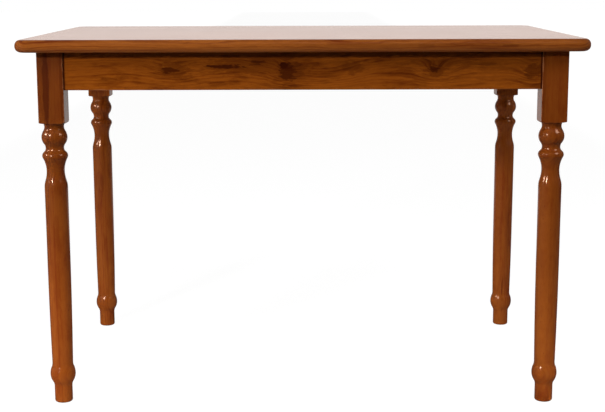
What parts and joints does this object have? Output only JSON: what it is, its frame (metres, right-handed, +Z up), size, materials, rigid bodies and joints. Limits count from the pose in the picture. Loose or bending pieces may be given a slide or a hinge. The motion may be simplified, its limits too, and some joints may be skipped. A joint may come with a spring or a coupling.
{
  "type": "dining table",
  "caption": "Rectangular dining table in lacquered solid wood: round-edged top, turned legs with square blocks, set-back rails with corner blocks and buttons.",
  "frame": {"origin": "on the floor, under the middle of the top", "axes": "+X along the table's length, to the right seen from the front; +Y to the back; +Z up"},
  "size_m": [1.13, 0.73, 0.75],
  "materials": {
    "top_wood": "gloss lacquer, red-brown",
    "leg_wood": "gloss lacquer, red-brown",
    "rail_wood": "gloss lacquer, red-brown, knotty",
    "plain_wood": "planed, unfinished",
    "screw_steel": "yellow zinc"
  },
  "bodies": {
    "root": {"top_board_1_front": "top_wood", "top_board_2": "top_wood", "top_board_3": "top_wood", "top_board_4": "top_wood", "top_board_5": "top_wood", "top_board_6_back": "top_wood", "leg_front_left": "leg_wood", "leg_front_right": "leg_wood", "leg_back_right": "leg_wood", "leg_back_left": "leg_wood", "rail_front": "rail_wood", "rail_right": "rail_wood", "rail_back": "rail_wood", "rail_left": "rail_wood", "corner_block_front_left": "plain_wood", "corner_block_front_right": "plain_wood", "corner_block_back_right": "plain_wood", "corner_block_back_left": "plain_wood", "button_front_1": "plain_wood", "button_front_2": "plain_wood", "button_front_3": "plain_wood", "button_back_1": "plain_wood", "button_back_2": "plain_wood", "button_back_3": "plain_wood", "button_left_1": "plain_wood", "button_left_2": "plain_wood", "button_right_1": "plain_wood", "button_right_2": "plain_wood", "button_screws": "screw_steel", "corner_block_screws": "screw_steel"}
  },
  "joints": []
}
